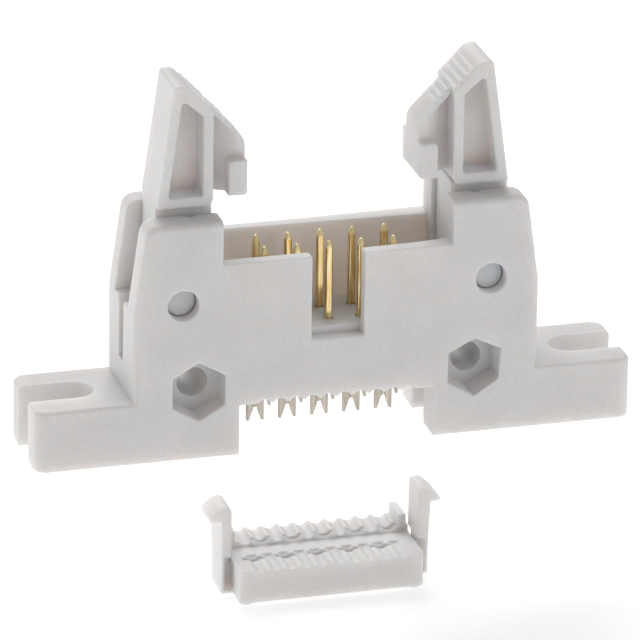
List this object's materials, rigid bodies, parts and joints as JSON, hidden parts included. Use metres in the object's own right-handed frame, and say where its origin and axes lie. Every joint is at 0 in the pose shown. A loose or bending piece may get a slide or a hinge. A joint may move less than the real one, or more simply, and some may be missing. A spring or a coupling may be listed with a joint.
{
  "type": "shrouded pin header",
  "caption": "Shrouded cable-mount pin header with key notch, two swing ejector latches, slotted mounting ears and a clip-on cover that clamps a flat cable on its piercing tines.",
  "frame": {"origin": "middle of the mounting plane: the underside of the two feet, halfway between the two ear slots and halfway through the thickness", "axes": "+X along the contact rows, +Y from the keyed front face to the back, +Z from the cable side to the pin side"},
  "size_m": [0.0472, 0.0082, 0.0425],
  "materials": {
    "housing_plastic": "fine matte glass-filled polyester",
    "latch_plastic": "fine matte",
    "cover_plastic": "fine matte",
    "contact_metal": "gold-plated pins, tin-plated tines"
  },
  "bodies": {
    "header": {"housing": "housing_plastic", "contact_01": "contact_metal", "contact_02": "contact_metal", "contact_03": "contact_metal", "contact_04": "contact_metal", "contact_05": "contact_metal", "contact_06": "contact_metal", "contact_07": "contact_metal", "contact_08": "contact_metal", "contact_09": "contact_metal", "contact_10": "contact_metal"},
    "left_latch": {"left_latch": "latch_plastic"},
    "right_latch": {"right_latch": "latch_plastic"},
    "cover": {"cover": "cover_plastic"}
  },
  "joints": [
    {"name": "left_latch_swing", "type": "hinge", "parent": "header", "child": "left_latch", "pos_m": [-0.0121, 0, 0.01256], "axis": [0, -1, 0], "range_deg": [0, 40]},
    {"name": "right_latch_swing", "type": "hinge", "parent": "header", "child": "right_latch", "pos_m": [0.0121, 0, 0.01256], "axis": [0, 1, 0], "range_deg": [0, 40]},
    {"name": "cover_slide", "type": "slide", "parent": "header", "child": "cover", "axis": [0, 0, 1], "range_m": [0, 0.01325]}
  ]
}
